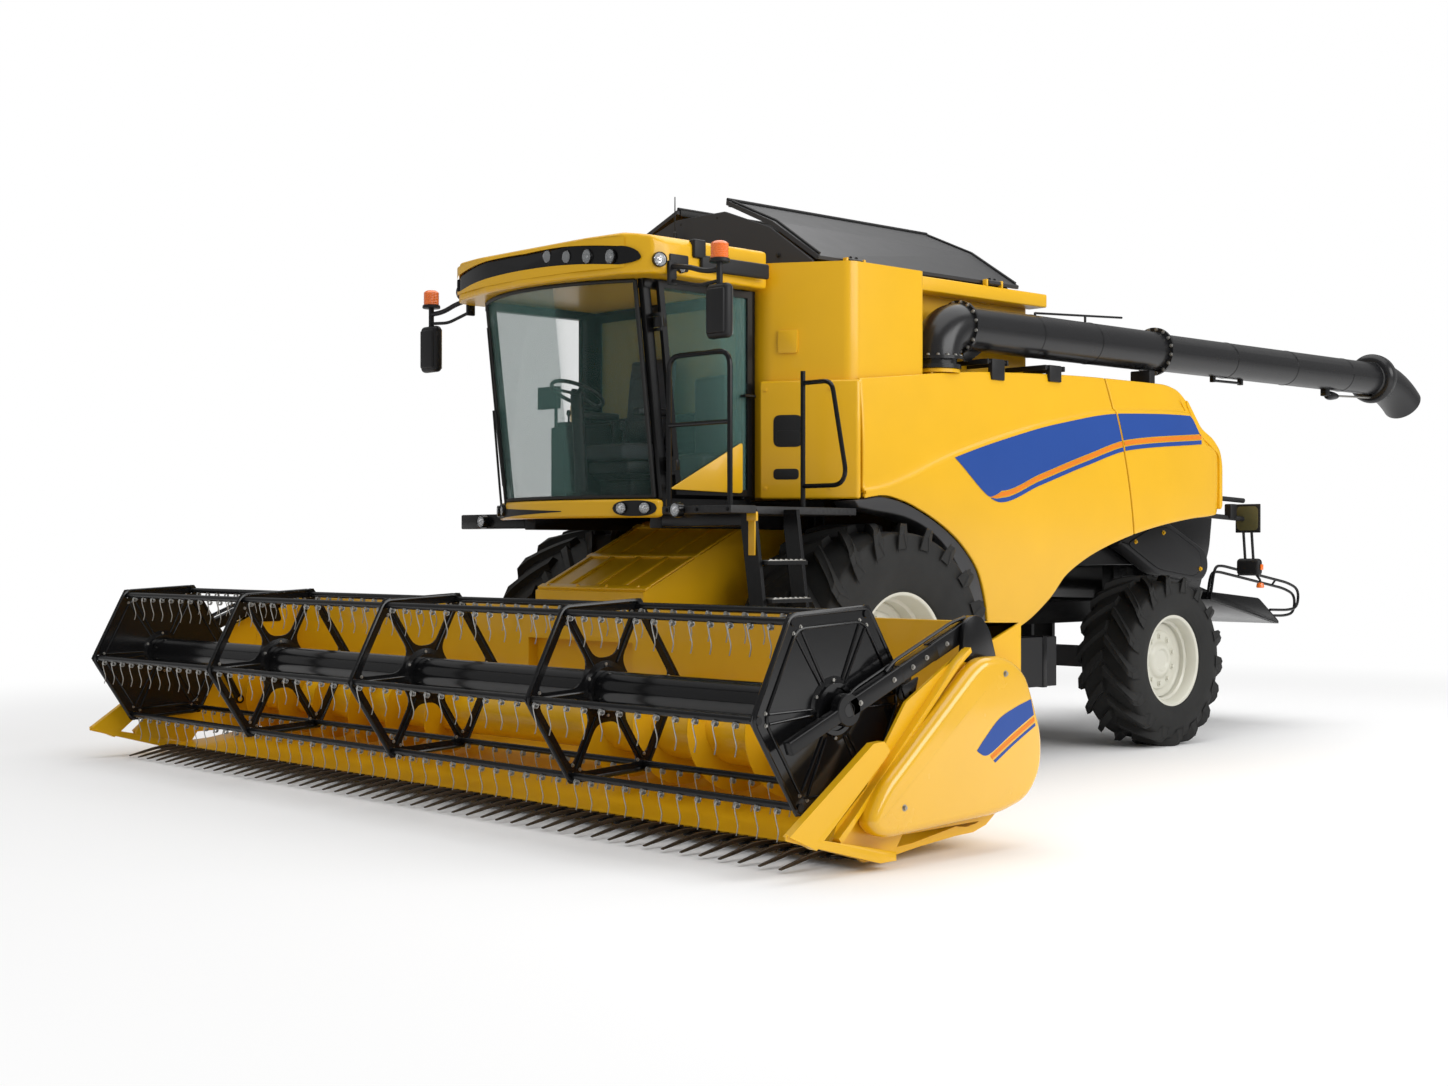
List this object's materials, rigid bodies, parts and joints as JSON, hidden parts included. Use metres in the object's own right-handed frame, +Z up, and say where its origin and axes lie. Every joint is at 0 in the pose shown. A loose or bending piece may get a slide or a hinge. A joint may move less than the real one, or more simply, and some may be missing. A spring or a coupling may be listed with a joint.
{
  "type": "combine harvester",
  "caption": "Self-propelled grain combine with a wide reel header, hollow cab and grain tank, folded unloading tube, straw chopper, steered rear wheels and opening shields.",
  "frame": {"origin": "middle of the whole length and width, on the ground", "axes": "-Y to the front, +X to the machine's left, +Z up"},
  "size_m": [7.9, 11.2632, 4.205],
  "materials": {
    "yellow_paint": "glossy farm-machine yellow",
    "yellow_panel": "glossy yellow moulded panel",
    "black_paint": "satin black paint",
    "grey_paint": "satin dark grey paint",
    "dark_cover": "matt dark grey sheet",
    "cream_rim": "cream paint",
    "tyre_rubber": "matt black rubber",
    "window_glass": "clear tinted glass",
    "black_plastic": "matt black plastic",
    "seat_cloth": "dark woven cloth",
    "bright_steel": "worn bare steel",
    "cast_steel": "dark cast steel",
    "lamp_lens": "clear ribbed lamp glass"
  },
  "bodies": {
    "chassis": {"chassis_frame": "black_paint", "front_axle": "cast_steel", "rear_axle": "cast_steel", "body_hull": "black_paint", "grain_tank": "yellow_paint", "tank_gables": "dark_cover", "cab_frame": "black_paint", "cab_roof": "yellow_paint", "cab_bumper": "yellow_paint", "windscreen": "window_glass", "cab_windows": "window_glass", "operator_seat": "seat_cloth", "steering_console": "black_plastic", "mirrors": "black_plastic", "platform": "black_paint", "ladder": "black_paint", "engine": "cast_steel", "engine_deck": "black_paint", "rear_hood": "yellow_panel", "straw_chopper": "black_paint", "lamp_frames": "black_paint", "work_lamps": "lamp_lens", "fenders": "black_plastic", "side_boxes": "black_plastic"},
    "front_wheel_left": {"front_tyre_left": "tyre_rubber", "front_rim_left": "cream_rim"},
    "front_wheel_right": {"front_tyre_right": "tyre_rubber", "front_rim_right": "cream_rim"},
    "steer_left": {"knuckle_left": "cast_steel"},
    "steer_right": {"knuckle_right": "cast_steel"},
    "rear_wheel_left": {"rear_tyre_left": "tyre_rubber", "rear_rim_left": "cream_rim"},
    "rear_wheel_right": {"rear_tyre_right": "tyre_rubber", "rear_rim_right": "cream_rim"},
    "cover_left": {"tank_cover_left": "dark_cover"},
    "cover_right": {"tank_cover_right": "dark_cover"},
    "shield_left": {"side_shield_left": "yellow_panel"},
    "shield_right": {"side_shield_right": "yellow_panel"},
    "door": {"cab_door": "black_paint", "cab_door_glass": "window_glass"},
    "unloader": {"unloading_tube": "dark_cover", "unloading_spout": "dark_cover"},
    "header": {"feeder_house": "yellow_paint", "header_frame": "yellow_paint", "cutter_bar": "bright_steel", "end_covers": "yellow_panel"},
    "lift_cylinders": {"lift_barrels": "black_paint"},
    "lift_pistons": {"lift_rods": "bright_steel"},
    "auger": {"header_auger": "yellow_paint"},
    "arms": {"reel_arms": "black_paint"},
    "reel_cylinders": {"reel_barrels": "black_paint"},
    "reel_pistons": {"reel_rods": "bright_steel"},
    "reel": {"reel_drum": "black_paint", "reel_spiders": "black_paint"},
    "bar_1": {"tine_bar_1": "black_paint"},
    "bar_2": {"tine_bar_2": "black_paint"},
    "bar_3": {"tine_bar_3": "black_paint"},
    "bar_4": {"tine_bar_4": "black_paint"},
    "bar_5": {"tine_bar_5": "black_paint"},
    "bar_6": {"tine_bar_6": "black_paint"}
  },
  "joints": [
    {"name": "front_wheel_left_spin", "type": "hinge", "parent": "chassis", "child": "front_wheel_left", "pos_m": [1.383, -2.26841, 0.91], "axis": [1, 0, 0], "continuous": true},
    {"name": "front_wheel_right_spin", "type": "hinge", "parent": "chassis", "child": "front_wheel_right", "pos_m": [-1.383, -2.26841, 0.91], "axis": [1, 0, 0], "continuous": true},
    {"name": "steer_left", "type": "hinge", "parent": "chassis", "child": "steer_left", "pos_m": [0.88, 1.39159, 0.71], "axis": [0, 0, 1], "range_deg": [-35, 35]},
    {"name": "steer_right", "type": "hinge", "parent": "chassis", "child": "steer_right", "pos_m": [-0.88, 1.39159, 0.71], "axis": [0, 0, 1], "range_deg": [-35, 35]},
    {"name": "rear_wheel_left_spin", "type": "hinge", "parent": "steer_left", "child": "rear_wheel_left", "pos_m": [1.265, 1.39159, 0.71], "axis": [1, 0, 0], "continuous": true},
    {"name": "rear_wheel_right_spin", "type": "hinge", "parent": "steer_right", "child": "rear_wheel_right", "pos_m": [-1.265, 1.39159, 0.71], "axis": [1, 0, 0], "continuous": true},
    {"name": "cover_left_lid", "type": "hinge", "parent": "chassis", "child": "cover_left", "pos_m": [1.31, -1.56841, 3.665], "axis": [0, 1, 0], "range_deg": [0, 90]},
    {"name": "cover_right_lid", "type": "hinge", "parent": "chassis", "child": "cover_right", "pos_m": [-1.31, -1.56841, 3.665], "axis": [0, -1, 0], "range_deg": [0, 90]},
    {"name": "shield_left_door", "type": "hinge", "parent": "chassis", "child": "shield_left", "pos_m": [1.52, -0.99341, 3.03], "axis": [0, -1, 0], "range_deg": [0, 65]},
    {"name": "shield_right_door", "type": "hinge", "parent": "chassis", "child": "shield_right", "pos_m": [-1.52, -0.99341, 3.03], "axis": [0, 1, 0], "range_deg": [0, 65]},
    {"name": "cab_door", "type": "hinge", "parent": "chassis", "child": "door", "pos_m": [0.95, -3.68341, 1.98], "axis": [0, 0.1184, -0.993], "range_deg": [0, 65]},
    {"name": "unloader_swing", "type": "hinge", "parent": "chassis", "child": "unloader", "pos_m": [1.38, -1.51841, 3], "axis": [0, 0, -1], "range_deg": [0, 100]},
    {"name": "header_lift", "type": "hinge", "parent": "chassis", "child": "header", "pos_m": [0, -2.51841, 1.52], "axis": [-1, 0, 0], "range_deg": [0, 22]},
    {"name": "lift_cylinder_tilt", "type": "hinge", "parent": "chassis", "child": "lift_cylinders", "pos_m": [0, -2.49841, 0.8], "axis": [-1, 0, 0], "range_deg": [-0.3, 26.28]},
    {"name": "lift_piston_slide", "type": "slide", "parent": "lift_cylinders", "child": "lift_pistons", "axis": [0, -0.8863, -0.463], "range_m": [-0.002, 0.27]},
    {"name": "auger_spin", "type": "hinge", "parent": "header", "child": "auger", "pos_m": [0, -4.12841, 0.47], "axis": [1, 0, 0], "continuous": true},
    {"name": "reel_lift", "type": "hinge", "parent": "header", "child": "arms", "pos_m": [0, -4.06841, 1.215], "axis": [-1, 0, 0], "range_deg": [0, 25]},
    {"name": "reel_cylinder_tilt", "type": "hinge", "parent": "header", "child": "reel_cylinders", "pos_m": [0, -4.31841, 0.4], "axis": [-1, 0, 0], "range_deg": [-0.3, 2.31]},
    {"name": "reel_piston_slide", "type": "slide", "parent": "reel_cylinders", "child": "reel_pistons", "axis": [0, -0.4619, 0.8869], "range_m": [-0.002, 0.2615]},
    {"name": "reel_spin", "type": "hinge", "parent": "arms", "child": "reel", "pos_m": [0, -5.03841, 0.82], "axis": [1, 0, 0], "continuous": true},
    {"name": "bar_1_turn", "type": "hinge", "parent": "reel", "child": "bar_1", "pos_m": [0, -4.79144, 1.30471], "axis": [1, 0, 0], "continuous": true},
    {"name": "bar_2_turn", "type": "hinge", "parent": "reel", "child": "bar_2", "pos_m": [0, -5.33469, 1.27624], "axis": [1, 0, 0], "continuous": true},
    {"name": "bar_3_turn", "type": "hinge", "parent": "reel", "child": "bar_3", "pos_m": [0, -5.58166, 0.79153], "axis": [1, 0, 0], "continuous": true},
    {"name": "bar_4_turn", "type": "hinge", "parent": "reel", "child": "bar_4", "pos_m": [0, -5.28538, 0.33529], "axis": [1, 0, 0], "continuous": true},
    {"name": "bar_5_turn", "type": "hinge", "parent": "reel", "child": "bar_5", "pos_m": [0, -4.74212, 0.36376], "axis": [1, 0, 0], "continuous": true},
    {"name": "bar_6_turn", "type": "hinge", "parent": "reel", "child": "bar_6", "pos_m": [0, -4.49515, 0.84847], "axis": [1, 0, 0], "continuous": true}
  ],
  "couplings": [
    {"joint": "lift_cylinder_tilt", "follows": "header_lift", "ratio": 1.181},
    {"joint": "lift_piston_slide", "follows": "header_lift", "m_per_rad": 0.69794},
    {"joint": "reel_cylinder_tilt", "follows": "reel_lift", "ratio": 0.08042},
    {"joint": "reel_piston_slide", "follows": "reel_lift", "m_per_rad": 0.59474},
    {"joint": "bar_1_turn", "follows": "reel_spin", "ratio": -1},
    {"joint": "bar_2_turn", "follows": "reel_spin", "ratio": -1},
    {"joint": "bar_3_turn", "follows": "reel_spin", "ratio": -1},
    {"joint": "bar_4_turn", "follows": "reel_spin", "ratio": -1},
    {"joint": "bar_5_turn", "follows": "reel_spin", "ratio": -1},
    {"joint": "bar_6_turn", "follows": "reel_spin", "ratio": -1},
    {"joint": "steer_right", "follows": "steer_left", "ratio": 1}
  ]
}
